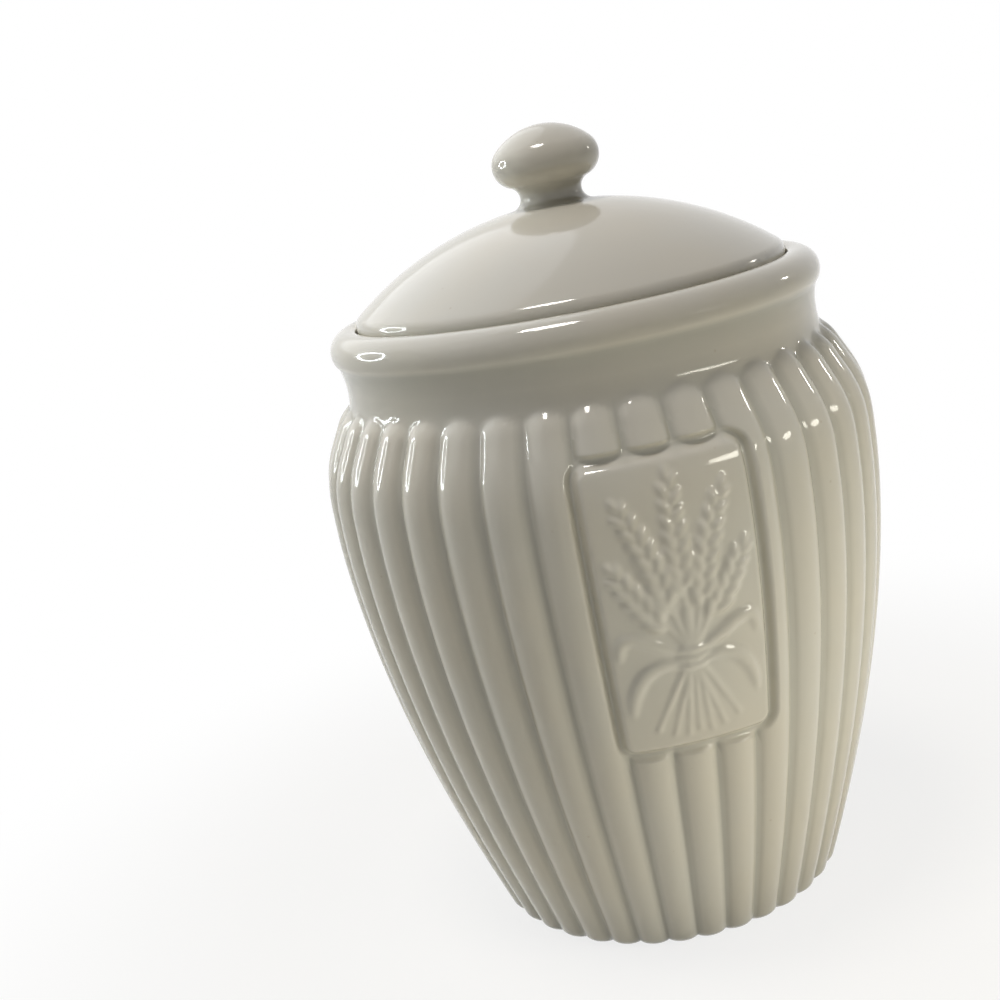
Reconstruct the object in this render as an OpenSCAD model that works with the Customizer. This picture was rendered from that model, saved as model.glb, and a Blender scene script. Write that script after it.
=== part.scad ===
// Round reeded cookie jar with a domed lid that drops into a gallery inside the lip.
// Millimetres, +Z up, origin at the middle of the foot, the plain panel facing -Y.

/* [Jar body] */
// Height of the jar to the top of its lip
jar_h = 200.5; // [180:0.5:230]
// Diameter over the ribs at the belly
belly_d = 174.4; // [164:0.2:190]
// Height of the belly above the table
belly_z = 140; // [125:1:150]
// Diameter over the ribs at the foot, before its edge is rounded
foot_d = 114.2; // [100:0.2:130]
// How the flank swells from foot to belly, 1 is straight
flank_power = 1.7; // [1.3:0.1:2.2]
// How late the shoulder turns in to the neck
shoulder_power = 1.5; // [1.2:0.1:1.8]
// Radius that rounds the edge of the foot
foot_round = 3.5; // [2:0.5:5]
// Thickness of the wall, behind the grooves
wall = 6; // [4.5:0.5:8]
// Thickness of the floor
floor_t = 7; // [5:0.5:10]
// Radius of the cove between floor and wall, inside
cove_r = 14; // [6:1:20]
// Width of the flat ring the jar stands on
foot_ring_w = 9; // [5:0.5:12]
// Depth of the hollow under the floor, inside the foot ring
foot_recess = 2; // [1:0.5:3]

/* [Ribs] */
// Number of ribs round the jar
rib_count = 38; // [24:1:40]
// Height of a rib above its grooves, at the belly
rib_depth = 3; // [1.5:0.25:4]
// Height at which the ribs die out on the shoulder
rib_top_z = 177; // [170:0.5:179]
// Height of the rounded top end of a rib
rib_end_h = 5.5; // [3:0.5:8]
// Turn of the first rib from the middle of the panel, in degrees
rib_turn = 8.3; // [0:0.1:9]

/* [Panel] */
// Width of the plain panel, along the wall
panel_w = 50.6; // [36:0.2:60]
// Height of the panel
panel_h = 87.8; // [60:0.2:92]
// Height of the panel's lower edge
panel_z = 75; // [65:0.5:80]
// Radius of the panel's corners
panel_corner = 5; // [3:0.5:9]
// Rise of the panel above the grooves
panel_rise = 2.8; // [1.5:0.1:4]
// Width of the panel's sloping edge
panel_edge = 3; // [1.5:0.25:4]
// Width of the hollow line above and below the panel, which the ribs stop short of
panel_gap = 2; // [2:0.25:4]
// Width of the hollow line down each side of the panel
panel_crease = 1.5; // [1:0.25:2.5]
// Height of the squarer end of a rib against the panel
panel_end_h = 2; // [2:0.25:5]

/* [Neck and lip] */
// Diameter of the neck where it is narrowest
neck_d = 148.6; // [144:0.2:152]
// Height of the narrowest part of the neck below the lip's top
neck_drop = 17.5; // [15.5:0.5:20]
// Diameter over the rolled lip
lip_d = 154; // [152:0.2:160]
// Radius of the rolled lip
lip_round = 6.5; // [5.5:0.1:7.5]
// Diameter of the gallery inside the lip, where the lid sits
gallery_d = 135.8; // [132:0.2:138]
// Depth of the gallery's ledge below the lip's top
gallery_depth = 5.5; // [4:0.5:7]
// Thickness of the gallery's ledge at the mouth
ledge_t = 5; // [3.5:0.5:6]
// Diameter of the clear mouth
mouth_d = 126; // [118:0.5:128]

/* [Lid] */
// Gap round the lid's edge in the gallery
lid_gap = 0.5; // [0.3:0.1:1]
// Gap between the lid and the ledge it rests on
seat_gap = 0.3; // [0.2:0.1:0.5]
// Height of the lid's upright edge
lid_edge_h = 5.3; // [4:0.1:8]
// Radius that rounds the lid's edge into its dome
lid_edge_round = 4; // [2:0.5:5]
// Radius of the dome
dome_r = 106; // [95:1:140]
// Thickness of the lid
lid_t = 5.5; // [4:0.5:7]
// Gap round the locating ring in the mouth
ring_gap = 1.2; // [0.8:0.1:2]
// Thickness of the locating ring
ring_t = 4.8; // [3:0.2:6]
// Depth of the locating ring below the ledge
ring_h = 8; // [5:0.5:12]

/* [Knob] */
// Diameter of the knob
knob_d = 33.4; // [28:0.2:38]
// Height of the knob above the top of the dome
knob_h = 23.7; // [22:0.1:28]
// Height of the knob's widest part above the top of the dome
knob_belly_h = 12.8; // [12:0.1:14]
// Radius of the knob's rounded side
knob_round = 7; // [6:0.1:8]
// Radius of the hollow curve between knob and dome
knob_fillet = 3.6; // [3:0.1:4.5]

/* [Hidden] */
$fn = 96;
glaze = "ivory";

// Heights along the jar
neck_z = jar_h - neck_drop;
lip_z = jar_h - lip_round;
ledge_z = jar_h - gallery_depth;
rib_end_z = rib_top_z - rib_end_h;
ribbed_top_z = (rib_top_z + neck_z) / 2 - 1;

// Radii along the jar
belly_groove_r = belly_d / 2 - rib_depth;
groove_share = belly_groove_r / (belly_d / 2);
neck_r = neck_d / 2;
lip_r = lip_d / 2;
mouth_r = mouth_d / 2;
gallery_r = gallery_d / 2;
rib_pitch = 360 / rib_count;

function clamp01(x) = max(0, min(1, x));
function smoother(t) = t * t * t * (10 + t * (6 * t - 15));

// Radius at the bottom of the grooves: a power curve up the flank, then the shoulder's S curve
function flank_r(z) =
    groove_share * (belly_d - (belly_d - foot_d) * pow((belly_z - z) / belly_z, flank_power)) / 2;
function shoulder_r(z) =
    let (t = clamp01((z - belly_z) / (neck_z - belly_z)))
    belly_groove_r + (neck_r - belly_groove_r) * smoother(pow(t, shoulder_power));
function groove_r(z) = z < belly_z ? flank_r(z) : shoulder_r(z);
function neck_flare_r(z) = neck_r + (lip_r - neck_r) * pow((z - neck_z) / (lip_z - neck_z), 2);
function foot_pull(z) =
    z < foot_round ? foot_round - sqrt(foot_round * foot_round - pow(foot_round - z, 2)) : 0;

// Distance outside the panel's rounded outline, measured along the wall
panel_arc = 180 / (PI * belly_d / 2);
function panel_out(a, z) =
    let (
        x = abs(a) / panel_arc - panel_w / 2 + panel_corner,
        y = abs(z - panel_z - panel_h / 2) - panel_h / 2 + panel_corner
    )
    norm([max(x, 0), max(y, 0)]) + min(max(x, y), 0) - panel_corner;

// A rib is a shallow arch across, with a round end on the shoulder and squarer ends against the panel
function spine(a) = rib_turn + rib_pitch * round((a - rib_turn) / rib_pitch);
function past_panel_end(a, z) =
    abs(spine(a)) > panel_w / 2 * panel_arc ? 0 :
    clamp01(1 - (abs(z - panel_z - panel_h / 2) - panel_h / 2 - panel_gap) / panel_end_h);
function rib_rise(a, z) =
    let (
        across = (a - spine(a)) / (rib_pitch / 2),
        top = max(0, (z - rib_end_z) / rib_end_h)
    )
    rib_depth * groove_r(z) / belly_groove_r
        * max(0, 1 - norm([across, top]) ^ 2)
        * (1 - past_panel_end(a, z) ^ 2)
        * clamp01(panel_out(a, z) / panel_crease);
function panel_level(a, z) =
    let (t = clamp01(-panel_out(a, z) / panel_edge))
    panel_rise * t * t * (3 - 2 * t);
function wall_r(a, z) = groove_r(z) - foot_pull(z) + max(rib_rise(a, z), panel_level(a, z));

// Columns and rows of the ribbed wall: steps across each rib, and lines along the panel's edges
function sorted(v) =
    len(v) < 2 ? v :
    let (m = v[floor(len(v) / 2)])
    concat(sorted([for (x = v) if (x < m) x]), [m], sorted([for (x = v) if (x > m) x]));
function clear_of(v, marks, gap) = [for (x = v) if (min([for (m = marks) abs(x - m)]) > gap) x];

rib_steps = [0, 0.22, 0.5, 0.78];
rib_columns = [
    for (k = [0:rib_count - 1], s = rib_steps)
        let (a = rib_turn + rib_pitch * (k - 0.5 + s))
        a > 180 ? a - 360 : a
];
panel_columns = [
    for (side = [-1, 1], inset = [-panel_crease, 0, panel_edge / 4, panel_edge * 3 / 4, panel_edge])
        side * (panel_w / 2 - inset) * panel_arc
];
column_gap = 0.06 * rib_pitch;
columns = sorted(concat(clear_of(rib_columns, panel_columns, column_gap), panel_columns));

foot_rows = [for (s = [0, 0.1, 0.35, 1]) foot_round * s];
panel_steps = [
    -panel_gap - panel_end_h, -panel_gap - panel_end_h / 2, -panel_gap - panel_end_h / 6, -panel_gap,
    0, panel_edge / 4, panel_edge * 3 / 4, panel_edge
];
panel_rows = [for (s = panel_steps) each [panel_z + s, panel_z + panel_h - s]];
end_rows = [for (s = [0.35, 0.65, 0.85, 1]) rib_end_z + rib_end_h * s];
marked_rows = concat(foot_rows, end_rows, [ribbed_top_z]);
fixed_rows = concat(clear_of(panel_rows, marked_rows, 0.8), marked_rows);
flank_steps = 8;
flank_rows = [for (k = [1:flank_steps - 1]) rib_end_z * k / flank_steps];
row_gap = rib_end_z / flank_steps / 4;
rows = sorted(concat(clear_of(flank_rows, fixed_rows, row_gap), fixed_rows));

// The ribbed wall as one closed solid, lofted row by row
module ribbed_wall() {
    n = len(columns);
    points = [
        for (z = rows, a = columns)
            let (r = wall_r(a, z))
            [r * sin(a), -r * cos(a), z]
    ];
    sides = [
        for (i = [0:len(rows) - 2], j = [0:n - 1])
            let (a = i * n + j, b = i * n + (j + 1) % n)
            each [[a, a + n, b], [b, a + n, b + n]]
    ];
    bottom = [for (j = [0:n - 1]) j];
    top = [for (j = [0:n - 1]) len(rows) * n - 1 - j];
    polyhedron(points, concat(sides, [bottom, top]));
}

// Neck and rolled lip, turned about the axis and sunk a little into the ribbed wall
module neck_and_lip() {
    root_h = 4;
    root_in = 2;
    step_in = 0.1;
    neck_steps = 6;
    rise = [
        for (k = [1:neck_steps]) let (z = ribbed_top_z + (neck_z - ribbed_top_z) * k / neck_steps)
            [shoulder_r(z), z]
    ];
    flare = [
        for (k = [1:neck_steps]) let (z = neck_z + (lip_z - neck_z) * k / neck_steps)
            [min(neck_flare_r(z), lip_r - 0.02), z]
    ];
    rotate_extrude() {
        polygon(concat(
            [[0, ribbed_top_z - root_h], [shoulder_r(ribbed_top_z) - root_in, ribbed_top_z - root_h]],
            [[shoulder_r(ribbed_top_z) - step_in, ribbed_top_z]],
            rise, flare, [[0, lip_z]]
        ));
        translate([lip_r - lip_round, lip_z]) circle(lip_round);
        translate([0, lip_z]) square([lip_r - lip_round, lip_round]);
    }
}

// The inside: coved floor, even wall, then the ledge, the gallery and the open mouth
module inside() {
    inner_steps = 16;
    over = 5;
    function inner_r(z) = groove_r(z) - wall;
    cove_z = floor_t + cove_r;
    ledge_low_z = ledge_z - ledge_t;
    under_ledge_z = ledge_low_z - (inner_r(neck_z) - mouth_r);
    cove = [
        for (a = [0:15:90])
            [inner_r(cove_z) - cove_r + cove_r * sin(a), cove_z - cove_r * cos(a)]
    ];
    side = [
        for (k = [1:inner_steps]) let (z = cove_z + (under_ledge_z - cove_z) * k / inner_steps)
            [inner_r(z), z]
    ];
    rotate_extrude()
        polygon(concat(
            [[0, floor_t]], cove, side,
            [[mouth_r, ledge_low_z], [mouth_r, ledge_z], [gallery_r, ledge_z]],
            [[gallery_r, jar_h + over], [0, jar_h + over]]
        ));
}

module jar() {
    recess_r = foot_d / 2 * groove_share - foot_round - foot_ring_w;
    color(glaze) difference() {
        union() {
            ribbed_wall();
            neck_and_lip();
        }
        inside();
        translate([0, 0, -1]) cylinder(h = foot_recess + 1, r = recess_r);
    }
}

// Lid: its edge, dome, knob and locating ring share one turned profile
seat_z = ledge_z + seat_gap;
lid_r = gallery_r - lid_gap;
ring_r = mouth_r - ring_gap;
edge_z = seat_z + lid_edge_h;
dome_z = edge_z - sqrt(pow(dome_r - lid_edge_round, 2) - pow(lid_r - lid_edge_round, 2));
dome_top_z = dome_z + dome_r;
knob_z = dome_top_z + knob_belly_h;
knob_in = knob_d / 2 - knob_round;
knob_over = knob_h - knob_belly_h;
knob_top_r = (pow(knob_in, 2) + pow(knob_over, 2) - pow(knob_round, 2)) / (2 * (knob_over - knob_round));

// Outer crossing of a circle about [0, z1] and one about [x2, z2]
function crossing(z1, r1, x2, z2, r2) =
    let (
        d = norm([x2, z2 - z1]),
        along = (d * d + r1 * r1 - r2 * r2) / (2 * d),
        off = sqrt(r1 * r1 - along * along),
        u = [x2, z2 - z1] / d
    )
    [0, z1] + along * u + off * [u[1], -u[0]];

module dome_profile() {
    blend_r = (lid_r - lid_edge_round) * dome_r / (dome_r - lid_edge_round);
    intersection() {
        translate([0, dome_z]) circle(dome_r, $fn = 360);
        translate([0, seat_z]) square([blend_r, dome_r]);
    }
    translate([lid_r - lid_edge_round, edge_z]) circle(lid_edge_round);
    translate([0, seat_z]) square([lid_r, lid_edge_h]);
    translate([0, seat_z - ring_h]) square([ring_r, ring_h + 1]);
}

module knob_profile() {
    hollow = crossing(dome_z, dome_r + knob_fillet, knob_in, knob_z, knob_round + knob_fillet);
    on_dome = [0, dome_z] + (hollow - [0, dome_z]) * dome_r / (dome_r + knob_fillet);
    on_knob = [knob_in, knob_z]
        + (hollow - [knob_in, knob_z]) * knob_round / (knob_round + knob_fillet);
    top_z = knob_z + knob_over - knob_top_r;
    blend = ([knob_in, knob_z] - [0, top_z]) * knob_top_r / (knob_top_r - knob_round);
    translate([knob_in, knob_z]) circle(knob_round);
    intersection() {
        translate([0, top_z]) circle(knob_top_r);
        translate([0, knob_z]) square([blend[0], knob_over]);
    }
    difference() {
        polygon([[0, dome_z], on_dome, hollow, on_knob, [knob_in, knob_z], [0, knob_z]]);
        translate(hollow) circle(knob_fillet);
    }
}

module lid() {
    color(glaze) rotate_extrude()
        intersection() {
            difference() {
                union() {
                    dome_profile();
                    knob_profile();
                }
                intersection() {
                    translate([0, dome_z]) circle(dome_r - lid_t, $fn = 360);
                    translate([0, dome_z]) square([ring_r - ring_t, dome_r]);
                }
            }
            translate([0, seat_z - ring_h]) square([lid_r + 1, dome_r + knob_h]);
        }
}

jar();
lid();
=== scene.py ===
"""Looks of a round reeded stoneware cookie jar: the ribbed pot with its raised panel, and the domed lid."""

import math

import bmesh
import bpy
import numpy as np
from mathutils import Matrix, Vector


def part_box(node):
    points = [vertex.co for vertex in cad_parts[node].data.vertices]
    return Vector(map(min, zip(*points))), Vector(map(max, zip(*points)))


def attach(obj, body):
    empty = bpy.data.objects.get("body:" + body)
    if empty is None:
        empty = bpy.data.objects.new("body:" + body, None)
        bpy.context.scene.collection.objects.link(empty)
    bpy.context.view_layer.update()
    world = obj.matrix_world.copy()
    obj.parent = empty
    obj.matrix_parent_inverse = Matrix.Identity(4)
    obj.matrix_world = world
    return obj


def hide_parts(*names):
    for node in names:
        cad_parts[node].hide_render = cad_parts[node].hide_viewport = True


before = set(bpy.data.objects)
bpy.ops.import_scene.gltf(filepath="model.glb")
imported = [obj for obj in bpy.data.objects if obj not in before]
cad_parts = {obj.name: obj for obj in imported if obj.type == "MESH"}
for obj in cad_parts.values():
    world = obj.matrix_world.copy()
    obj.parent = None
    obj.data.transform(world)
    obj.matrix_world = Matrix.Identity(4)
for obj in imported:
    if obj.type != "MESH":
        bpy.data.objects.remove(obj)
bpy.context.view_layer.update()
jar_low, jar_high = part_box("jar")
lid_low, lid_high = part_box("lid")

MM = 0.001

# The jar's wall, as it was turned before the ribs
JAR_H = jar_high.z
JAR_MIDDLE = Vector((0, 0, JAR_H / 2))
BELLY_R = 87.2 * MM
BELLY_Z = 140 * MM
FLANK_POWER = 1.7
SHOULDER_POWER = 1.5
WALL = 6 * MM
FLOOR_T = 7 * MM
COVE_R = 14 * MM

# Neck, rolled lip, and the gallery that the lid drops into
NECK_R = 74.3 * MM
NECK_Z = JAR_H - 17.5 * MM
LIP_R = 77 * MM
LIP_ROUND = 6.5 * MM
LIP_Z = JAR_H - LIP_ROUND
LIP_START = math.radians(-24)
FLARE_SHARE = 0.62
GALLERY_R = 67.9 * MM
GALLERY_Z = LIP_Z + 0.89 * LIP_ROUND
GALLERY_SOFT = 0.6 * MM
LEDGE_Z = JAR_H - 5.5 * MM
LEDGE_T = 5 * MM
LEDGE_SOFT = 0.8 * MM
MOUTH_R = 63 * MM
MOUTH_SOFT_TOP = 1.2 * MM
MOUTH_SOFT_LOW = 1.4 * MM
UNDER_LEDGE_SOFT = 2.5 * MM
UNDER_LEDGE_H = 6 * MM

# Ribs, which are a little fuller across than a plain arch
RIB_COUNT = 38
RIB_DEPTH = 3 * MM
RIB_TURN = math.radians(8.3)
RIB_TOP_Z = 177 * MM
RIB_END_H = 5.5 * MM
RIB_FULLNESS = 0.75
GROOVE_FILL = 0.1
GROOVE_BELLY_R = BELLY_R - RIB_DEPTH
GROOVE_SHARE = GROOVE_BELLY_R / BELLY_R

# The foot: a rounded edge, and a ring of bare clay round a shallow recess
FOOT_R = 57.1 * MM
FOOT_ROUND = 3.5 * MM
FOOT_RING_W = 9 * MM
FOOT_RECESS = 2 * MM
FOOT_RECESS_R = FOOT_R * GROOVE_SHARE - FOOT_ROUND - FOOT_RING_W
FOOT_RECESS_SOFT = 1 * MM
FOOT_RING_SOFT = 0.9 * MM
BARE_FOOT_Z = 0.5 * MM

# The raised panel on the front, and the glaze that fills in round it
PANEL_W = 50.6 * MM
PANEL_H = 87.8 * MM
PANEL_Z = 75 * MM
PANEL_CORNER = 5 * MM
PANEL_RISE = 2.8 * MM
PANEL_EDGE = 3 * MM
PANEL_GAP = 0.9 * MM
PANEL_CREASE = 1.5 * MM
PANEL_END_H = 1.5 * MM
GAP_FILL = 0.5
GLAZE_SOFTENING = 2

# Lid and knob
LID_R = GALLERY_R - 0.5 * MM
SEAT_Z = LEDGE_Z + 0.3 * MM
SEAT_SOFT = 0.8 * MM
LID_EDGE_Z = SEAT_Z + 5.3 * MM
LID_EDGE_ROUND = 4 * MM
DOME_R = 106 * MM
LID_T = 5.5 * MM
RING_R = MOUTH_R - 1.2 * MM
RING_T = 4.8 * MM
RING_Z = lid_low.z
RING_SOFT = 1.6 * MM
HOLLOW_SOFT = 1.8 * MM
HOLLOW_STOP = math.radians(2)
KNOB_TOP_Z = lid_high.z
KNOB_R = 16.7 * MM
KNOB_ROUND = 7 * MM
KNOB_BELLY_H = 12.8 * MM
KNOB_FILLET = 3.6 * MM

# The wheat sheaf in low relief on the panel
SHEAF_Z = PANEL_Z + PANEL_H / 2
RELIEF_REACH = 12 * MM
RELIEF_SOFTENING = 2
TALL_EAR_GRAINS = 15
LOW_EAR_GRAINS = 11
GRAIN_LENGTH = 7.4 * MM
GRAIN_WIDTH = 3.4 * MM
GRAIN_HEIGHT = 1.8 * MM
GRAIN_SPREAD = math.radians(27)
GRAIN_OFFSET = 1.9 * MM
GRAIN_TAPER = 0.35
GRAIN_SEGMENTS = 16
GRAIN_RINGS = 10
BLADE_SIDES = 14
STEM_WIDTH = 1.7 * MM
STEM_HEIGHT = 1.0 * MM
LEAF_WIDTH = 4.2 * MM
LEAF_HEIGHT = 1.3 * MM
TIE_WIDTH = 2.4 * MM
TIE_HEIGHT = 1.9 * MM
TIE_TURNS = (-12.4, -14.8, -17.2)

# Grid of the finished meshes: wall columns follow the ribs, and the panel is divided finer
COLUMNS_PER_RIB = 10
LID_COLUMNS = 200
FOOT_ROWS = 8
FLANK_ROWS = 17
PANEL_ROW_H = 1.35 * MM
SHOULDER_ROW_H = 1.1 * MM
FLARE_ROWS = 7
LIP_STEPS = 18
INNER_ROWS = 18
COVE_STEPS = 7
HOLLOW_STEPS = 24
LID_EDGE_STEPS = 10
DOME_STEPS = 60
KNOB_FILLET_STEPS = 14
KNOB_STEPS = 26
KNOB_TOP_STEPS = 16
PANEL_CUTS = 2
PANEL_FINE_MARGIN = 6 * MM

# Where shade is painted into the glaze: from this share of a rib's half width outwards, beside the panel,
# under the knob
GROOVE_SHADE_FROM = 0.62
CREASE_SHADE = 0.8
KNOB_SHADE = 0.15
KNOB_SHADE_REACH = 1.6 * KNOB_FILLET

# Colours of glaze and clay, and the grey of the painted shade
IVORY = (0.66, 0.645, 0.575)
IVORY_WARM = (0.675, 0.645, 0.555)
# The next grey is painted shade, laid into grooves, round the panel, under the knob and up the flare
PAINTED_SHADE_GREY = (0.45, 0.45, 0.39)
FLECK = (0.42, 0.33, 0.22)
CLAY = (0.56, 0.48, 0.37)
CLAY_DARK = (0.44, 0.36, 0.27)

# Firing marks: how noise becomes clouds, and which cells hold a fleck
CLOUD_DETAIL = 2.0
CLOUD_LOW = 0.35
CLOUD_SPAN = 0.3
FLECK_CHANCE = 0.93
FLECK_CHANCE_EDGE = 20
FLECK_TIGHTNESS = 7
RIPPLE_DETAIL = 1.5

# The glaze's finish, with pattern scales per metre
GLAZE_CLOUD_SCALE = 22.0
GLAZE_FLECK_SCALE = 260.0
GLAZE_RIPPLE_SCALE = 55.0
GLAZE_PAINTED_SHADE_TINT = 0.7
GLAZE_FLECK_TINT = 0.35
GLAZE_ROUGHNESS = 0.06
GLAZE_ROUGHNESS_SPREAD = 0.05
GLAZE_RIPPLE_STRENGTH = 0.25
GLAZE_RIPPLE_H = 0.6 * MM
GLAZE_IOR = 1.52

# The bare clay's finish
CLAY_CLOUD_SCALE = 60.0
CLAY_FLECK_SCALE = 500.0
CLAY_RIPPLE_SCALE = 900.0
CLAY_FLECK_TINT = 0.6
CLAY_ROUGHNESS = 0.75
CLAY_ROUGHNESS_SPREAD = 0.1
CLAY_RIPPLE_STRENGTH = 0.5
CLAY_RIPPLE_H = 0.3 * MM

# Floor and surroundings: the floor keeps the jar's shadow near it and is white further off
FLOOR_REACH = 6.0
FLOOR_COLOUR = (0.7, 0.68, 0.62)
FLOOR_WHITE = 0.8
SHADOW_NEAR = 0.12
SHADOW_FAR = 0.32
AMBIENT_COLOUR = (1.0, 0.98, 0.94)
AMBIENT_STRENGTH = 0.03
WHITE = (1, 1, 1)

# The camera stands where the photograph was taken from
CAMERA_AZIMUTH = math.radians(-10.8)
CAMERA_DISTANCE = 427.45 * MM
CAMERA_HEIGHT = 245.3 * MM
CAMERA_PAN = -0.0793
CAMERA_TILT = -0.2499
CAMERA_ROLL = -0.1956
CAMERA_SENSOR = 36
CAMERA_LENS = 48.6

# Sizes that the reeding tree takes as its named inputs
REEDING_SIZES = {
    "Rib Count": float(RIB_COUNT),
    "Rib Depth": RIB_DEPTH,
    "Rib Turn": RIB_TURN,
    "Rib Top": RIB_TOP_Z,
    "Rib End": RIB_END_H,
    "Rib Fullness": RIB_FULLNESS,
    "Groove Fill": GROOVE_FILL,
    "Belly Radius": BELLY_R,
    "Panel Width": PANEL_W,
    "Panel Height": PANEL_H,
    "Panel Base": PANEL_Z,
    "Panel Corner": PANEL_CORNER,
    "Panel Edge": PANEL_EDGE,
    "Panel Rise": PANEL_RISE,
    "Panel Gap": PANEL_GAP,
    "Panel Crease": PANEL_CREASE,
    "Panel End": PANEL_END_H,
    "Gap Fill": GAP_FILL,
}

# Sizes that the ear tree takes for each of its grains
GRAIN_SIZES = {
    "Length": GRAIN_LENGTH,
    "Width": GRAIN_WIDTH,
    "Height": GRAIN_HEIGHT,
    "Spread": GRAIN_SPREAD,
    "Offset": GRAIN_OFFSET,
}


# Node trees

class Field:
    """A number in a node tree. Python's operators add the Math nodes that work it out."""

    def __init__(self, tree, socket):
        self.tree = tree
        self.socket = socket

    def math(self, operation, *values):
        """The field put through one Math node, with any further values."""
        node = self.tree.nodes.new("ShaderNodeMath")
        node.operation = operation
        for slot, value in zip(node.inputs, (self, *values)):
            put(self.tree, value, slot)
        return Field(self.tree, node.outputs[0])

    def __add__(self, other):
        return self.math("ADD", other)

    def __sub__(self, other):
        return self.math("SUBTRACT", other)

    def __mul__(self, other):
        return self.math("MULTIPLY", other)

    def __truediv__(self, other):
        return self.math("DIVIDE", other)

    def __rsub__(self, other):
        return (self * -1) + other

    def at_least(self, other):
        return self.math("MAXIMUM", other)

    def at_most(self, other):
        return self.math("MINIMUM", other)

    def abs(self):
        return self.math("ABSOLUTE")

    def root(self):
        return self.math("SQRT")

    def unit(self):
        """The number held between 0 and 1."""
        return self.at_least(0).at_most(1)

    def smooth(self):
        """A step from 0 to 1 that starts and ends level."""
        t = self.unit()
        return t * t * (3 - t * 2)


def put(tree, value, socket):
    """Links a field or socket to a socket, or sets the socket's own value."""
    if isinstance(value, Field):
        tree.links.new(value.socket, socket)
    elif isinstance(value, bpy.types.NodeSocket):
        tree.links.new(value, socket)
    else:
        socket.default_value = value


def add_node(tree, kind, inputs=None, **settings):
    """A new node with its settings and its inputs, by name or index."""
    node = tree.nodes.new(kind)
    for name, value in settings.items():
        setattr(node, name, value)
    for name, value in (inputs or {}).items():
        put(tree, value, node.inputs[name])
    return node


def separated(tree, vector):
    """The X, Y and Z of a vector socket, as fields."""
    node = add_node(tree, "ShaderNodeSeparateXYZ", {0: vector})
    return [Field(tree, socket) for socket in node.outputs]


def combined(tree, x=0, y=0, z=0):
    """A vector socket made of three numbers or fields."""
    return add_node(tree, "ShaderNodeCombineXYZ", {"X": x, "Y": y, "Z": z}).outputs[0]


def named(tree, label):
    """A mesh's own attribute, as a field."""
    node = add_node(tree, "GeometryNodeInputNamedAttribute", {"Name": label}, data_type="FLOAT")
    return Field(tree, node.outputs["Attribute"])


def blurred(tree, field, rounds, weight=1):
    """A field evened out between neighbouring corners of the mesh."""
    node = add_node(
        tree,
        "GeometryNodeBlurAttribute",
        {"Value": field, "Iterations": rounds, "Weight": weight},
        data_type="FLOAT",
    )
    return Field(tree, node.outputs["Value"])


def new_tree(name, kind, inputs, outputs):
    """A node group with named sockets, a function that gives its inputs as fields, and its output node."""
    tree = bpy.data.node_groups.new(name, kind)
    for label, socket_type in inputs:
        tree.interface.new_socket(label, in_out="INPUT", socket_type=socket_type)
    for label, socket_type in outputs:
        tree.interface.new_socket(label, in_out="OUTPUT", socket_type=socket_type)
    group_in = tree.nodes.new("NodeGroupInput")
    group_out = tree.nodes.new("NodeGroupOutput")
    return tree, (lambda label: Field(tree, group_in.outputs[label])), group_out


def new_piece_tree(name, sizes, others=()):
    """A Geometry Nodes tree for one kind of piece, with its sizes and its glaze as named inputs."""
    geometry = ("Geometry", "NodeSocketGeometry")
    inputs = [geometry]
    inputs += others
    inputs += [(label, "NodeSocketFloat") for label in sizes]
    inputs += [("Glaze", "NodeSocketMaterial")]
    tree, value, out = new_tree(name, "GeometryNodeTree", inputs, [geometry])
    tree.is_modifier = True
    return tree, value, out


def end_tree(tree, geometry, glaze, out):
    """Ends a piece's tree: instances are made real, and the glaze is set."""
    real = add_node(tree, "GeometryNodeRealizeInstances", {"Geometry": geometry})
    glazed = add_node(tree, "GeometryNodeSetMaterial", {"Geometry": real.outputs[0], "Material": glaze})
    tree.links.new(glazed.outputs[0], out.inputs[0])


def add_object(name, data):
    """A new object in the scene, at the origin."""
    obj = bpy.data.objects.new(name, data)
    bpy.context.scene.collection.objects.link(obj)
    return obj


def apply_tree(obj, tree, values):
    """Runs a Geometry Nodes tree on an object and returns its result as a plain mesh object."""
    modifier = obj.modifiers.new(tree.name, "NODES")
    modifier.node_group = tree
    identifiers = {item.name: item.identifier for item in tree.interface.items_tree if item.in_out == "INPUT"}
    for label, value in values.items():
        modifier[identifiers[label]] = value
    bpy.context.view_layer.update()
    graph = bpy.context.evaluated_depsgraph_get()
    mesh = bpy.data.meshes.new_from_object(obj.evaluated_get(graph), depsgraph=graph)
    name = obj.name
    made = add_object(name + "_made", mesh)
    bpy.data.objects.remove(obj)
    made.name = name
    return made


# Outlines

def arc(centre, radius, start, stop, steps):
    """Points on a circle in the outline's plane, angles from the outward direction, up being positive."""
    return [
        (centre[0] + radius * math.cos(a), centre[1] + radius * math.sin(a))
        for a in np.linspace(start, stop, steps + 1)
    ]


def softened(corners, steps=4):
    """An outline through corners given as (radius, height, softening), each worn round by its softening."""
    points = []
    for i, (r, z, soft) in enumerate(corners):
        here = Vector((r, z))
        if soft == 0 or i in (0, len(corners) - 1):
            points.append((r, z))
            continue
        before = here + (Vector(corners[i - 1][:2]) - here).normalized() * soft
        after = here + (Vector(corners[i + 1][:2]) - here).normalized() * soft
        for t in np.linspace(0, 1, steps + 1):
            p = before * (1 - t) ** 2 + here * (2 * t * (1 - t)) + after * t**2
            points.append((p.x, p.y))
    return points


def plain(points):
    """Outline rows with no ribs and no painted shade."""
    return [(r, z, 0, 0) for r, z in points]


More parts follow.
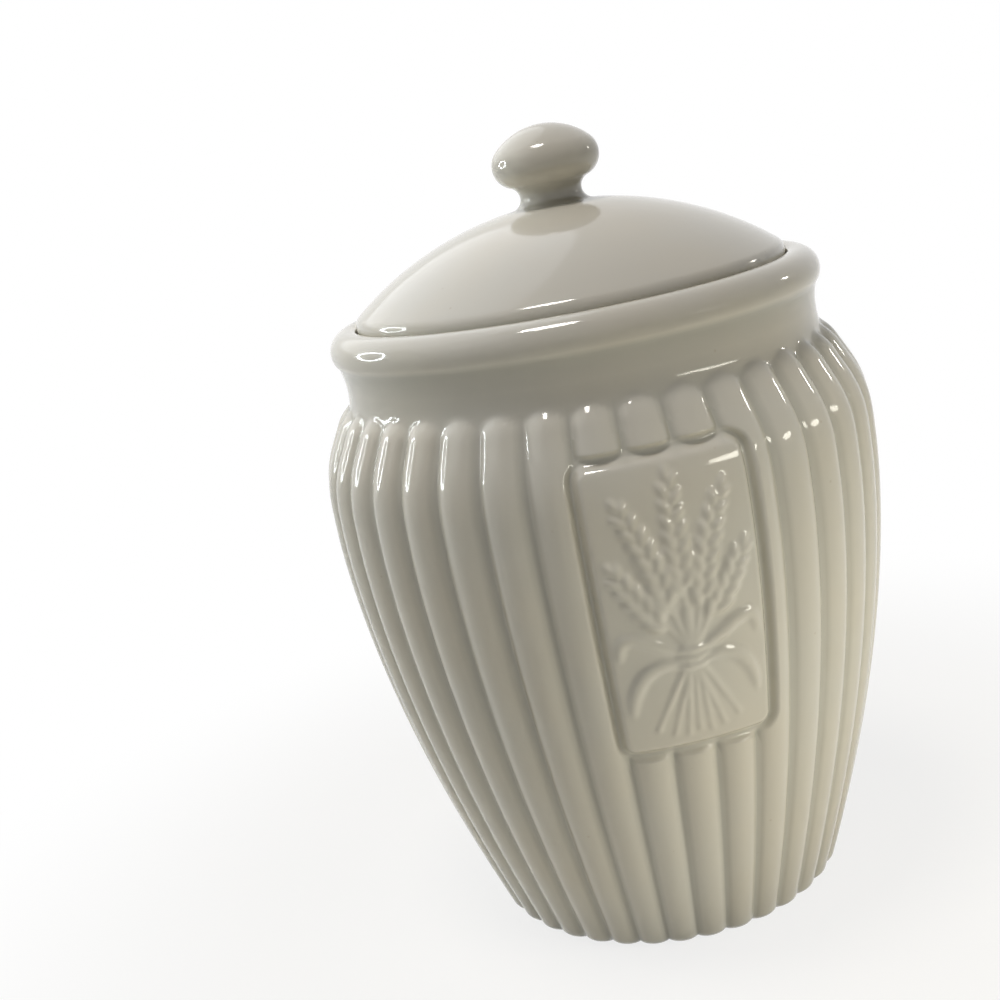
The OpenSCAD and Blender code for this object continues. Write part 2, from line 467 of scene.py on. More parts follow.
def groove_radius(z):
    """Radius of the wall at the bottom of its grooves."""
    if z < BELLY_Z:
        return GROOVE_SHARE * (BELLY_R - (BELLY_R - FOOT_R) * ((BELLY_Z - z) / BELLY_Z) ** FLANK_POWER)
    t = min(1, (z - BELLY_Z) / (NECK_Z - BELLY_Z)) ** SHOULDER_POWER
    return GROOVE_BELLY_R + (NECK_R - GROOVE_BELLY_R) * t**3 * (10 + t * (6 * t - 15))


def foot_pull(z):
    """How far the rounded edge of the foot draws the wall in."""
    if z >= FOOT_ROUND:
        return 0
    return FOOT_ROUND - math.sqrt(FOOT_ROUND**2 - (FOOT_ROUND - z) ** 2)


def wall_heights():
    """Rows up the ribbed wall: close at the foot, on the panel and at the rib ends."""
    foot = FOOT_ROUND * (1 - np.cos(np.linspace(0, math.pi / 2, FOOT_ROWS)))
    panel_low = PANEL_Z - PANEL_GAP - PANEL_END_H
    panel_high = PANEL_Z + PANEL_H + PANEL_GAP + PANEL_END_H
    flank = np.linspace(FOOT_ROUND, panel_low, FLANK_ROWS)[1:-1]
    panel = np.arange(panel_low, panel_high, PANEL_ROW_H)
    shoulder = np.arange(panel_high, NECK_Z, SHOULDER_ROW_H)[:-1]
    return np.concatenate([foot, flank, panel, shoulder])


def flare_rows():
    """Rows from the neck out to the lip, with shade painted darker and darker towards the lip."""
    flare_top = NECK_Z + FLARE_SHARE * (LIP_Z - NECK_Z)
    rows = []
    for z in np.linspace(NECK_Z, flare_top, FLARE_ROWS):
        rise = ((z - NECK_Z) / (LIP_Z - NECK_Z)) ** 2
        # The last value is painted shade, from none at the neck to full at the top of the flare
        rows.append((NECK_R + (LIP_R - NECK_R) * rise, z, 0, (z - NECK_Z) / (flare_top - NECK_Z)))
    return rows


def jar_outline():
    """The jar's closed outline from under the foot, up the wall, over the lip and down to the floor inside.

    Each point is (radius, height, reeded, shade): whether ribs rise there, and how much shade is painted
    there.
    """
    under = softened(
        [
            (0, FOOT_RECESS, 0),
            (FOOT_RECESS_R, FOOT_RECESS, FOOT_RECESS_SOFT),
            (FOOT_RECESS_R, 0, FOOT_RING_SOFT),
            (groove_radius(0) - foot_pull(0), 0, 0),
        ]
    )
    rows = plain(under[:-1])
    rows += [(groove_radius(z) - foot_pull(z), z, 1, 0) for z in wall_heights()]
    rows += flare_rows()

    lip_in = LIP_R - LIP_ROUND
    lip_stop = math.pi - math.acos((lip_in - GALLERY_R - GALLERY_SOFT) / LIP_ROUND)
    lip = arc((lip_in, LIP_Z), LIP_ROUND, LIP_START, lip_stop, LIP_STEPS)
    rows += plain(lip)

    under_ledge_z = LEDGE_Z - LEDGE_T - (NECK_R - WALL - MOUTH_R)
    under_ledge_r = groove_radius(under_ledge_z) - WALL
    inner_top_z = under_ledge_z - UNDER_LEDGE_H
    gallery = softened(
        [
            (*lip[-1], 0),
            (GALLERY_R, GALLERY_Z, GALLERY_SOFT),
            (GALLERY_R, LEDGE_Z, LEDGE_SOFT),
            (MOUTH_R, LEDGE_Z, MOUTH_SOFT_TOP),
            (MOUTH_R, LEDGE_Z - LEDGE_T, MOUTH_SOFT_LOW),
            (under_ledge_r, under_ledge_z, UNDER_LEDGE_SOFT),
            (under_ledge_r, inner_top_z, 0),
        ]
    )
    rows += plain(gallery[1:])

    cove_z = FLOOR_T + COVE_R
    cove_r = groove_radius(cove_z) - WALL - COVE_R
    inner_heights = np.linspace(inner_top_z, cove_z, INNER_ROWS)[1:]
    rows += plain((groove_radius(z) - WALL, z) for z in inner_heights)
    rows += plain(arc((cove_r, cove_z), COVE_R, 0, -math.pi / 2, COVE_STEPS)[1:])
    rows += plain([(0, FLOOR_T)])
    return rows


def crossing(z1, r1, x2, z2, r2):
    """Outer crossing of a circle about (0, z1) and one about (x2, z2)."""
    reach = Vector((x2, z2 - z1))
    d = reach.length
    along = (d * d + r1 * r1 - r2 * r2) / (2 * d)
    off = math.sqrt(r1 * r1 - along * along)
    unit = reach / d
    return Vector((0, z1)) + unit * along + Vector((unit.y, -unit.x)) * off


def angle_to(centre, point):
    """The angle at which an arc about a centre passes a point."""
    return math.atan2(point[1] - centre[1], point[0] - centre[0])


def lid_outline():
    """The lid's closed outline, from the middle of its hollow, round its ring and over the dome and knob.

    Each point is given as in the jar's outline, and no ribs rise on it.
    """
    edge_in = LID_R - LID_EDGE_ROUND
    edge = (edge_in, LID_EDGE_Z)
    dome_z = LID_EDGE_Z - math.sqrt((DOME_R - LID_EDGE_ROUND) ** 2 - edge_in**2)
    dome = (0, dome_z)
    knob_z = dome_z + DOME_R + KNOB_BELLY_H
    knob_in = KNOB_R - KNOB_ROUND
    knob = (knob_in, knob_z)
    over = KNOB_TOP_Z - knob_z
    top_r = (knob_in**2 + over**2 - KNOB_ROUND**2) / (2 * (over - KNOB_ROUND))
    top = (0, KNOB_TOP_Z - top_r)
    fillet = crossing(dome_z, DOME_R + KNOB_FILLET, knob_in, knob_z, KNOB_ROUND + KNOB_FILLET)

    ring_in = RING_R - RING_T
    hollow_r = DOME_R - LID_T
    hollow_edge = math.acos(ring_in / hollow_r)
    points = arc(dome, hollow_r, math.pi / 2, hollow_edge + HOLLOW_STOP, HOLLOW_STEPS)
    points += softened(
        [
            (*points[-1], 0),
            (ring_in, dome_z + hollow_r * math.sin(hollow_edge), HOLLOW_SOFT),
            (ring_in, RING_Z, RING_SOFT),
            (RING_R, RING_Z, RING_SOFT),
            (RING_R, SEAT_Z, SEAT_SOFT),
            (LID_R, SEAT_Z, SEAT_SOFT),
            (LID_R, LID_EDGE_Z, 0),
        ]
    )[1:]
    edge_stop = angle_to(dome, edge)
    fillet_start = angle_to(fillet, dome) + math.tau
    top_start = angle_to(top, knob)
    points += arc(edge, LID_EDGE_ROUND, 0, edge_stop, LID_EDGE_STEPS)[1:]
    points += arc(dome, DOME_R, edge_stop, angle_to(dome, fillet), DOME_STEPS)[1:]
    points += arc(fillet, KNOB_FILLET, fillet_start, angle_to(fillet, knob), KNOB_FILLET_STEPS)[1:]
    points += arc(knob, KNOB_ROUND, angle_to(knob, fillet), top_start, KNOB_STEPS)[1:]
    points += arc(top, top_r, top_start, math.pi / 2, KNOB_TOP_STEPS)[1:]
    points[0] = (0, points[0][1])
    points[-1] = (0, points[-1][1])

    # Shade painted round the knob's foot, where the knob shades the lid
    def painted_shading(r, z):
        if r > KNOB_R:
            return 0
        return KNOB_SHADE * max(0, 1 - abs(z - fillet.y) / KNOB_SHADE_REACH)

    return [(r, z, 0, painted_shading(r, z)) for r, z in points]


# Meshes of the jar and the lid

def column_angles(count, start):
    """Even column angles once round the axis."""
    return [start + math.tau * k / count for k in range(count)]


def turned_sheet(name, rows, angles):
    """A closed sheet whose corners hold (angle, radius, height), ready to be bent round the axis."""
    rings = rows[1:-1]
    n = len(angles)
    corners = [(0, 0, rows[0][1])]
    corners += [(a, r, z) for r, z, _, _ in rings for a in angles]
    corners.append((0, 0, rows[-1][1]))
    faces = [(0, 1 + (j + 1) % n, 1 + j) for j in range(n)]
    for i in range(len(rings) - 1):
        low, high = 1 + i * n, 1 + (i + 1) * n
        faces += [(low + j, low + (j + 1) % n, high + (j + 1) % n, high + j) for j in range(n)]
    last, end = 1 + (len(rings) - 1) * n, len(corners) - 1
    faces += [(last + j, last + (j + 1) % n, end) for j in range(n)]
    mesh = bpy.data.meshes.new(name)
    mesh.from_pydata(corners, [], faces)
    for label, column in (("reeded", 2), ("pool", 3)):
        values = [rows[0][column]] + [row[column] for row in rings for _ in range(n)] + [rows[-1][column]]
        mesh.attributes.new(label, "FLOAT", "POINT").data.foreach_set("value", values)
    return add_object(name, mesh)


def divide_panel(sheet):
    """Divides the panel's part of the jar's sheet finer, for its relief."""
    half_w = PANEL_W / 2 + PANEL_FINE_MARGIN
    low, high = PANEL_Z - PANEL_FINE_MARGIN, PANEL_Z + PANEL_H + PANEL_FINE_MARGIN
    grid = bmesh.new()
    grid.from_mesh(sheet.data)
    reeded = grid.verts.layers.float["reeded"]

    def on_panel(corner):
        angle, _, z = corner.co
        return corner[reeded] > 0 and abs(angle) * BELLY_R < half_w and low < z < high

    edges = {e for f in grid.faces if all(map(on_panel, f.verts)) for e in f.edges}
    bmesh.ops.subdivide_edges(grid, edges=list(edges), cuts=PANEL_CUTS, use_grid_fill=True)
    grid.to_mesh(sheet.data)
    grid.free()


def outside_panel(value, arc_x, from_middle):
    """Distance outside the panel's rounded outline, below zero on the panel."""
    corner = value("Panel Corner")
    x = arc_x.abs() - value("Panel Width") / 2 + corner
    y = from_middle - value("Panel Height") / 2 + corner
    x_out, y_out = x.at_least(0), y.at_least(0)
    return (x_out * x_out + y_out * y_out).root() + x.at_least(y).at_most(0) - corner


def ribs(value, angle, radius, height, from_middle, outside):
    """How far the ribs rise from the grooves, and how much shade is painted into the grooves.

    A rib is an arch across, with a round end on the shoulder and squarer ends against the panel.
    """
    count, start = value("Rib Count"), value("Rib Turn")
    depth, belly = value("Rib Depth"), value("Belly Radius")
    turns = (angle - start) * count / math.tau
    nearest = turns.math("ROUND")
    across = (turns - nearest).abs() * 2
    spine = nearest * math.tau / count + start
    meets_panel = (spine.abs() * belly).math("LESS_THAN", value("Panel Width") / 2)

    past_edge = from_middle - value("Panel Height") / 2
    past_end = (1 - (past_edge - value("Panel Gap")) / value("Panel End")).unit() * meets_panel
    over_panel = (past_edge / value("Panel Edge") + 1).unit() * meets_panel
    gap_fill = over_panel * value("Gap Fill")
    past_top = ((height - value("Rib Top")) / value("Rib End") + 1).at_least(0)
    panel_end = 1 - past_end * past_end * (1 - gap_fill)
    arch = (1 - across * across - past_top * past_top).at_least(0) * panel_end

    fill = value("Groove Fill")
    full = (fill * fill + 1).root() - fill
    filled_arch = ((arch * arch + fill * fill).root() - fill) / full
    full_arch = filled_arch.math("POWER", value("Rib Fullness"))
    beside = (outside / value("Panel Crease")).smooth().at_least(gap_fill)
    rise = full_arch * beside * depth * radius / (belly - depth)

    # Painted shade in the grooves, from this share of the rib's half width outwards
    in_groove = ((across - GROOVE_SHADE_FROM) / (1 - GROOVE_SHADE_FROM)).smooth()
    return rise, in_groove * (1 - past_top.unit()) * beside


def relief_rise(tree, value, arc_x, height):
    """Height of the relief over the panel, read off the flat-laid relief piece."""
    piece = add_node(tree, "GeometryNodeObjectInfo", {"Object": value("Relief")})
    cast = add_node(
        tree,
        "GeometryNodeRaycast",
        {
            "Target Geometry": piece.outputs["Geometry"],
            "Source Position": combined(tree, arc_x, RELIEF_REACH, height),
            "Ray Direction": (0, -1, 0),
            "Ray Length": RELIEF_REACH,
        },
    )
    _, out_of_panel, _ = separated(tree, cast.outputs["Hit Position"])
    found = out_of_panel * Field(tree, cast.outputs["Is Hit"])
    return blurred(tree, found, RELIEF_SOFTENING)


def reeding_tree():
    """Bends a turned sheet round the axis, and raises ribs, the panel and its relief on the reeded rows."""
    tree, value, out = new_piece_tree("Reeded wall", REEDING_SIZES, [("Relief", "NodeSocketObject")])
    angle, radius, height = separated(tree, add_node(tree, "GeometryNodeInputPosition").outputs[0])
    reeded = named(tree, "reeded")
    arc_x = angle * value("Belly Radius")
    from_middle = (height - value("Panel Base") - value("Panel Height") / 2).abs()
    outside = outside_panel(value, arc_x, from_middle)

    rib, groove_shade = ribs(value, angle, radius, height, from_middle, outside)
    on_panel = (outside * -1 / value("Panel Edge")).smooth()
    panel = on_panel * (value("Panel Rise") + relief_rise(tree, value, arc_x, height))
    near_panel = 1 - (outside / value("Panel Gap") - 1).unit()
    rise = blurred(tree, rib.at_least(panel) * reeded, GLAZE_SOFTENING, near_panel)

    # Shade is painted along the grooves and round the panel's outline
    crease_shade = (1 - (outside / value("Panel Crease")).abs()).unit() * CREASE_SHADE
    pool = (groove_shade.at_least(crease_shade) * reeded).at_least(named(tree, "pool"))
    painted_shading = add_node(
        tree,
        "GeometryNodeStoreNamedAttribute",
        {"Geometry": value("Geometry"), "Name": "pool", "Value": pool},
        data_type="FLOAT",
        domain="POINT",
    )

    r = radius + rise
    bent = combined(tree, r * angle.math("SINE"), r * angle.math("COSINE") * -1, height)
    moved = add_node(tree, "GeometryNodeSetPosition", {"Geometry": painted_shading.outputs[0], "Position": bent})
    smooth = add_node(tree, "GeometryNodeSetShadeSmooth", {"Geometry": moved.outputs[0]})
    end_tree(tree, smooth.outputs[0], value("Glaze"), out)
    return tree


def bare_foot(jar, clay):
    """Leaves the ring that the jar stands on as bare clay."""
    jar.data.materials.append(clay)
    for face in jar.data.polygons:
        if face.center.z < BARE_FOOT_Z and face.center.xy.length > FOOT_RECESS_R - FOOT_RECESS_SOFT:
            face.material_index = 1


# The wheat sheaf, laid flat: X along the wall, Z up, Y out of the panel

def bezier(points, steps=24):
    """A smooth path through the pull of two or more points."""
    path = []
    for t in np.linspace(0, 1, steps + 1):
        level = [np.array(p, float) for p in points]
        while len(level) > 1:
            level = [a * (1 - t) + b * t for a, b in zip(level, level[1:])]
        path.append(level[0])
    return path


def mirrored(path):
    """A path and its mirror image on the other side of the sheaf."""
    return [path, [(-x, z) for x, z in path]]


def curve_piece(name, paths):
    """A curve object of open paths, given as lists of (x, z) in millimetres from the sheaf's middle."""
    data = bpy.data.curves.new(name, "CURVE")
    data.dimensions = "3D"
    for path in paths:
        spline = data.splines.new("POLY")
        spline.points.add(len(path) - 1)
        for point, (x, z) in zip(spline.points, path):
            point.co = (x * MM, 0, SHEAF_Z + z * MM, 1)
    return add_object(name, data)


def ear_tree():
    """Sets pairs of grains along each path, turned out to either side, smaller towards the tip."""
    tree, value, out = new_piece_tree("Wheat ear", GRAIN_SIZES, [("Grains", "NodeSocketInt")])
    along = add_node(
        tree,
        "GeometryNodeCurveToPoints",
        {"Curve": value("Geometry"), "Count": value("Grains")},
        mode="COUNT",
    )
    index = Field(tree, add_node(tree, "GeometryNodeInputIndex").outputs[0])
    place = index.math("MODULO", value("Grains"))
    share = place / (value("Grains") - 1)
    size = 1 - share * share * GRAIN_TAPER

    # Grains turn left and right in turn, and the last one points straight along the path
    last = place.math("COMPARE", value("Grains") - 1, 0.5)
    side = (place.math("MODULO", 2) * 2 - 1) * (1 - last)
    forward_x, _, forward_z = separated(tree, along.outputs["Tangent"])
    heading = forward_x.math("ARCTAN2", forward_z)
    shift = side * value("Offset") * size
    spread = add_node(
        tree,
        "GeometryNodeSetPosition",
        {
            "Geometry": along.outputs["Points"],
            "Offset": combined(tree, x=shift * heading.math("COSINE"), z=shift * heading.math("SINE") * -1),
        },
    )
    grain = add_node(
        tree,
        "GeometryNodeMeshUVSphere",
        {"Segments": GRAIN_SEGMENTS, "Rings": GRAIN_RINGS, "Radius": 0.5},
    )
    grains = add_node(
        tree,
        "GeometryNodeInstanceOnPoints",
        {
            "Points": spread.outputs[0],
            "Instance": grain.outputs["Mesh"],
            "Rotation": combined(tree, y=heading + side * value("Spread")),
            "Scale": combined(
                tree, value("Width") * size, value("Height") * size * 2, value("Length") * size
            ),
        },
    )
    end_tree(tree, grains.outputs[0], value("Glaze"), out)
    return tree


def blade_tree():
    """Sweeps a low round section along each path, narrowed towards its root and its tip."""
    tree, value, out = new_piece_tree("Blade", ("Width", "Height", "Root", "Tip"))
    share = Field(tree, add_node(tree, "GeometryNodeSplineParameter").outputs["Factor"])
    swell = (share * (1 - share) * 4).root()
    root_end = (1 - share * 2).at_least(0) * value("Root")
    tip_end = (share * 2 - 1).at_least(0) * value("Tip")
    half_width = swell.at_least(root_end).at_least(tip_end) * value("Width") / 2
    section = add_node(
        tree, "GeometryNodeCurvePrimitiveCircle", {"Resolution": BLADE_SIDES, "Radius": 1.0}, mode="RADIUS"
    )
    swept = add_node(
        tree,
        "GeometryNodeCurveToMesh",
        {
            "Curve": value("Geometry"),
            "Profile Curve": section.outputs["Curve"],
            "Scale": half_width,
            "Fill Caps": True,
        },
    )
    flatness = combined(tree, 1.0, value("Height") * 2 / value("Width"), 1.0)
    flat = add_node(tree, "GeometryNodeTransform", {"Geometry": swept.outputs[0], "Scale": flatness})
    end_tree(tree, flat.outputs[0], value("Glaze"), out)
    return tree


def wheat_sheaf(glaze):
    """The sheaf as one flat-laid piece: ears, stems, leaves and the tie."""
    tall_ears = [bezier([(0, 7), (0, 38)])]
    tall_ears += mirrored(bezier([(-5, 3), (-7.5, 18), (-15, 32)]))
    low_ears = mirrored(bezier([(-8, -2), (-13.5, 5), (-19, 15)]))
    stems = [bezier([(0, 8), (0, -38)])]
    stems += mirrored(bezier([(-5, 4), (-1.5, -10), (1, -18), (8, -38)]))
    stems += mirrored(bezier([(-8, -1), (-2, -10), (2.5, -17), (13, -36)]))
    stems += mirrored(bezier([(-0.5, 0), (-1, -12), (-1.2, -20), (-3.8, -39)]))
    leaves = mirrored(bezier([(-2, -13), (-14, -8), (-20, 0), (-20.5, -13)]))
    leaves += mirrored(bezier([(-2, -17), (-9, -13), (-18, -16), (-19.5, -31)]))
    tie = [bezier([(-5, z + 1.1), (0, z - 0.6), (5, z + 1.1)]) for z in TIE_TURNS]

    ears, blade = ear_tree(), blade_tree()
    pieces = []
    for name, paths, grains in (
        ("tall_ears", tall_ears, TALL_EAR_GRAINS),
        ("low_ears", low_ears, LOW_EAR_GRAINS),
    ):
        values = {"Grains": grains, **GRAIN_SIZES, "Glaze": glaze}
        pieces.append(apply_tree(curve_piece(name, paths), ears, values))
    for name, paths, width, height, root, tip in (
        ("stems", stems, STEM_WIDTH, STEM_HEIGHT, 1, 0.8),
        ("leaves", leaves, LEAF_WIDTH, LEAF_HEIGHT, 0.35, 0),
        ("tie", tie, TIE_WIDTH, TIE_HEIGHT, 0.5, 0.5),
    ):
        values = {"Width": width, "Height": height, "Root": root, "Tip": tip, "Glaze": glaze}
        pieces.append(apply_tree(curve_piece(name, paths), blade, values))
    with bpy.context.temp_override(active_object=pieces[0], selected_editable_objects=pieces):
        bpy.ops.object.join()
    pieces[0].name = "sheaf"
    return pieces[0]


# Materials

def fired_surface_group():
    """What firing leaves on any of the clay: slow clouds of tone, small flecks and a fine ripple."""
    scales = ("Cloud Scale", "Fleck Scale", "Ripple Scale")
    marks = ("Clouds", "Flecks", "Ripple")
    tree, value, out = new_tree(
        "Fired surface",
        "ShaderNodeTree",
        [("Vector", "NodeSocketVector")] + [(label, "NodeSocketFloat") for label in scales],
        [(label, "NodeSocketFloat") for label in marks],
    )

    def noise(scale, detail):
        node = add_node(
            tree, "ShaderNodeTexNoise", {"Vector": value("Vector"), "Scale": scale, "Detail": detail}
        )
        return Field(tree, node.outputs[0])

    clouds = ((noise(value("Cloud Scale"), CLOUD_DETAIL) - CLOUD_LOW) / CLOUD_SPAN).unit()
    cells = add_node(
        tree, "ShaderNodeTexVoronoi", {"Vector": value("Vector"), "Scale": value("Fleck Scale")}
    )
    near = Field(tree, cells.outputs["Distance"])
    chance = add_node(tree, "ShaderNodeSeparateColor", {0: cells.outputs["Color"]})
    picked = ((Field(tree, chance.outputs[0]) - FLECK_CHANCE) * FLECK_CHANCE_EDGE).unit()
    flecks = (1 - near * FLECK_TIGHTNESS).unit() * picked
    ripple = noise(value("Ripple Scale"), RIPPLE_DETAIL)
    for label, field in zip(marks, (clouds, flecks, ripple)):
        put(tree, field, out.inputs[label])
    return tree


def mixed(tree, factor, first, second):
    """One colour turned into another by a mask."""
    node = add_node(tree, "ShaderNodeMix", data_type="RGBA")
    put(tree, factor, node.inputs[0])
    for socket, colour in ((node.inputs[6], first), (node.inputs[7], second)):
        put(tree, (*colour, 1) if isinstance(colour, tuple) else colour, socket)
    return node.outputs[2]


def fired_material(name, group, cloud_scale, fleck_scale, ripple_scale):
    """A material with the fired surface placed in it, its shader, and that surface's fields."""
    material = bpy.data.materials.new(name)
    material.use_nodes = True
    tree = material.node_tree
    shader = tree.nodes["Principled BSDF"]
    surface = add_node(tree, "ShaderNodeGroup", node_tree=group)
    put(tree, add_node(tree, "ShaderNodeTexCoord").outputs["Object"], surface.inputs["Vector"])
    surface.inputs["Cloud Scale"].default_value = cloud_scale
    surface.inputs["Fleck Scale"].default_value = fleck_scale
    surface.inputs["Ripple Scale"].default_value = ripple_scale
    fields = [Field(tree, surface.outputs[label]) for label in ("Clouds", "Flecks", "Ripple")]
    return material, tree, shader, fields


def rippled(tree, shader, ripple, strength, height):
    """Lets a fine ripple play in the surface's gloss."""
    bump = add_node(tree, "ShaderNodeBump", {"Strength": strength, "Distance": height, "Height": ripple})
    put(tree, bump.outputs[0], shader.inputs["Normal"])


def glaze_material(group):
    """Thick ivory glaze: greyer where shade is painted into it, a little uneven, and glossy."""
    material, tree, shader, (clouds, flecks, ripple) = fired_material(
        "Ivory glaze", group, GLAZE_CLOUD_SCALE, GLAZE_FLECK_SCALE, GLAZE_RIPPLE_SCALE
    )
    pool = Field(tree, add_node(tree, "ShaderNodeAttribute", attribute_name="pool").outputs["Fac"])
    colour = mixed(tree, clouds, IVORY, IVORY_WARM)
    # Painted shade: the stored mask greys the glaze in grooves, round the panel, under the knob and up the
    # flare
    colour = mixed(tree, pool * GLAZE_PAINTED_SHADE_TINT, colour, PAINTED_SHADE_GREY)
    colour = mixed(tree, flecks * GLAZE_FLECK_TINT, colour, FLECK)
    put(tree, colour, shader.inputs["Base Color"])
    put(tree, clouds * GLAZE_ROUGHNESS_SPREAD + GLAZE_ROUGHNESS, shader.inputs["Roughness"])
    rippled(tree, shader, ripple, GLAZE_RIPPLE_STRENGTH, GLAZE_RIPPLE_H)
    shader.inputs["IOR"].default_value = GLAZE_IOR
    return material


def clay_material(group):
    """Bare fired clay, where the foot was wiped clean of glaze."""
    material, tree, shader, (clouds, flecks, ripple) = fired_material(
        "Bare clay", group, CLAY_CLOUD_SCALE, CLAY_FLECK_SCALE, CLAY_RIPPLE_SCALE
    )
    colour = mixed(tree, clouds, CLAY, CLAY_DARK)
    colour = mixed(tree, flecks * CLAY_FLECK_TINT, colour, FLECK)
    put(tree, colour, shader.inputs["Base Color"])
    put(tree, clouds * CLAY_ROUGHNESS_SPREAD + CLAY_ROUGHNESS, shader.inputs["Roughness"])
    rippled(tree, shader, ripple, CLAY_RIPPLE_STRENGTH, CLAY_RIPPLE_H)
    return material


def seen_directly(tree):
    """Whether the camera sees a background, straight or in gloss or glass."""
    path = add_node(tree, "ShaderNodeLightPath")
    rays = ("Is Camera Ray", "Is Glossy Ray", "Is Transmission Ray")
    camera, glossy, through = (Field(tree, path.outputs[label]) for label in rays)
    return camera.at_least(glossy).at_least(through)


def floor_material():
    """Pale floor: near white to the camera, and still dimmed by the jar's shadow."""
    material = bpy.data.materials.new("Pale floor")
    material.use_nodes = True
    tree = material.node_tree
    tree.nodes.clear()
    matt = add_node(tree, "ShaderNodeBsdfDiffuse", {"Color": (*FLOOR_COLOUR, 1)})
    white = add_node(tree, "ShaderNodeEmission", {"Color": (*WHITE, 1), "Strength": 1.0})
    where = add_node(tree, "ShaderNodeTexCoord").outputs["Object"]
    distance = add_node(tree, "ShaderNodeVectorMath", {0: where}, operation="LENGTH").outputs["Value"]
    clear = ((Field(tree, distance) - SHADOW_NEAR) / (SHADOW_FAR - SHADOW_NEAR)).smooth()
    share = seen_directly(tree) * (clear * (1 - FLOOR_WHITE) + FLOOR_WHITE)
    mix = add_node(tree, "ShaderNodeMixShader", {0: share, 1: matt.outputs[0], 2: white.outputs[0]})
    out = add_node(tree, "ShaderNodeOutputMaterial")
    tree.links.new(mix.outputs[0], out.inputs["Surface"])
    return material


# Floor, light and camera

def add_floor():
    """The pale floor that the jar stands on."""
    corners = [(x * FLOOR_REACH, y * FLOOR_REACH, 0) for x, y in ((-1, -1), (1, -1), (1, 1), (-1, 1))]
    mesh = bpy.data.meshes.new("floor")
    mesh.from_pydata(corners, [], [(0, 1, 2, 3)])
    mesh.materials.append(floor_material())
    floor = add_object("floor", mesh)


def round_jar(azimuth, elevation, distance):
    """A place round the jar, its azimuth in degrees from the front towards +X."""
    a, e = math.radians(azimuth), math.radians(elevation)
    toward = Vector((math.sin(a) * math.cos(e), -math.cos(a) * math.cos(e), math.sin(e)))
    return JAR_MIDDLE + toward * distance


def add_lamp(name, place, aim, width, power, colour):
    """A soft round lamp at a place, turned to what it is aimed at."""
    data = bpy.data.lights.new(name, "AREA")
    data.shape = "DISK"
    data.size = width
    data.energy = power
    data.color = colour
    lamp = add_object(name, data)
    lamp.location = place
    lamp.rotation_euler = (aim - place).to_track_quat("-Z", "Y").to_euler()


def add_ring_lamp(name, centre, radius, width, count, power, colour):
    """A ring of small lamps, as a studio ring light has."""
    tilt = (JAR_MIDDLE - centre).to_track_quat("-Z", "Y")
    for k, turn in enumerate(column_angles(count, 0)):
        place = centre + tilt @ Vector((radius * math.cos(turn), radius * math.sin(turn), 0))
        add_lamp(f"{name}_{k}", place, JAR_MIDDLE, width, power / count, colour)


def add_lamps():
    """Studio lamps round the jar, and one over the floor that lights it from below by its bounce."""
    floor_spot = Vector((0.26, -0.3, 0))
    for name, place, aim, width, power, colour in (
        ("overhead", round_jar(-51, 80, 1.5), JAR_MIDDLE, 0.4, 9.8, (1.0, 0.95, 0.91)),
        ("low_fill", floor_spot + Vector((0, 0, 0.2)), floor_spot, 0.2, 1.3, (1.0, 0.96, 0.84)),
        ("left_soft", round_jar(-80, 50, 1.8), JAR_MIDDLE, 1.4, 2.5, (1.0, 0.97, 0.95)),
        ("back_left", round_jar(-150, 45, 2.2), JAR_MIDDLE, 2.6, 12, (0.92, 0.95, 1.0)),
        ("right_spot", round_jar(98, 20, 0.9), JAR_MIDDLE, 0.06, 0.3, (1.0, 0.95, 0.88)),
    ):
        add_lamp(name, place, aim, width, power, colour)
    add_ring_lamp(
        "left_ring",
        round_jar(-115, 21, 0.7),
        radius=0.12,
        width=0.02,
        count=32,
        power=1.4,
        colour=(0.9, 0.975, 1.0),
    )


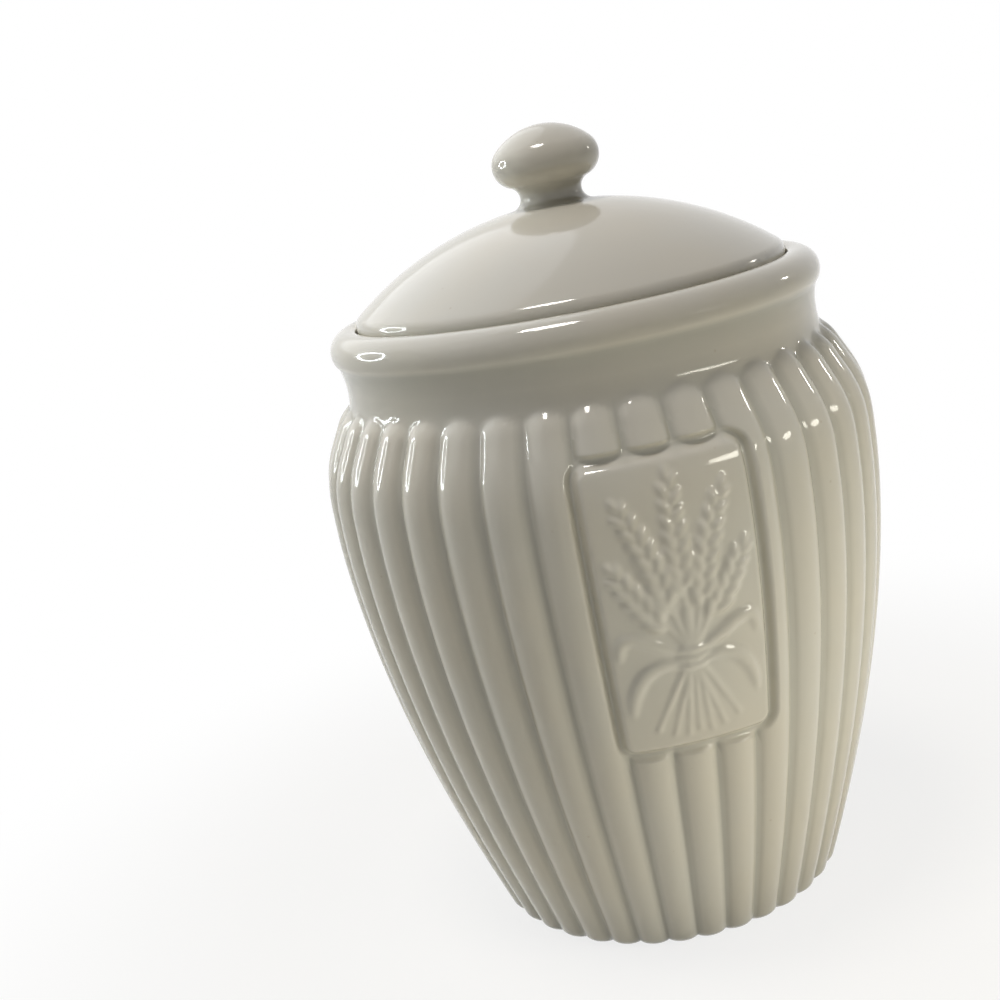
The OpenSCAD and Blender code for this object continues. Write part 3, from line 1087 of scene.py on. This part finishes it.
def add_camera():
    """The camera, panned, tilted and rolled as the photograph was."""
    data = bpy.data.cameras.new("photo_camera")
    data.sensor_width = CAMERA_SENSOR
    data.lens = CAMERA_LENS
    aside, ahead = math.sin(CAMERA_PAN), math.cos(CAMERA_PAN)
    flat = math.cos(CAMERA_TILT)
    forward = Vector((aside * flat, ahead * flat, math.sin(CAMERA_TILT)))
    level = Vector((ahead, -aside, 0))
    upright = level.cross(forward)
    right = level * math.cos(CAMERA_ROLL) + upright * math.sin(CAMERA_ROLL)
    up = upright * math.cos(CAMERA_ROLL) - level * math.sin(CAMERA_ROLL)
    place = Matrix((right, up, -forward)).transposed().to_4x4()
    place.translation = (0, -CAMERA_DISTANCE, CAMERA_HEIGHT)
    camera = add_object("photo_camera", data)
    camera.matrix_world = Matrix.Rotation(CAMERA_AZIMUTH, 4, "Z") @ place
    bpy.context.scene.camera = camera


def add_world():
    """A dim studio that is white where the camera sees it, straight or in the gloss."""
    world = bpy.data.worlds.new("studio")
    world.use_nodes = True
    tree = world.node_tree
    tree.nodes.clear()
    ambient = add_node(
        tree, "ShaderNodeBackground", {"Color": (*AMBIENT_COLOUR, 1), "Strength": AMBIENT_STRENGTH}
    )
    white = add_node(tree, "ShaderNodeBackground", {"Color": (*WHITE, 1), "Strength": 1.0})
    mix = add_node(
        tree, "ShaderNodeMixShader", {0: seen_directly(tree), 1: ambient.outputs[0], 2: white.outputs[0]}
    )
    out = add_node(tree, "ShaderNodeOutputWorld")
    tree.links.new(mix.outputs[0], out.inputs["Surface"])
    bpy.context.scene.world = world


# The object, in its place on the frame

fired_surface = fired_surface_group()
glaze = glaze_material(fired_surface)
clay = clay_material(fired_surface)

reeding = reeding_tree()
sheaf = wheat_sheaf(glaze)
jar_angles = column_angles(RIB_COUNT * COLUMNS_PER_RIB, RIB_TURN - math.pi)
jar_sheet = turned_sheet("jar_body", jar_outline(), jar_angles)
divide_panel(jar_sheet)
jar = apply_tree(jar_sheet, reeding, {**REEDING_SIZES, "Relief": sheaf, "Glaze": glaze})
bpy.data.objects.remove(sheaf)
bare_foot(jar, clay)

lid_sheet = turned_sheet("domed_lid", lid_outline(), column_angles(LID_COLUMNS, 0))
lid = apply_tree(lid_sheet, reeding, {**REEDING_SIZES, "Glaze": glaze})

for piece, body in ((jar, "jar"), (lid, "lid")):
    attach(piece, body)
    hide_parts(body)

add_floor()
add_lamps()
add_camera()
add_world()
bpy.context.scene.view_settings.view_transform = "Standard"
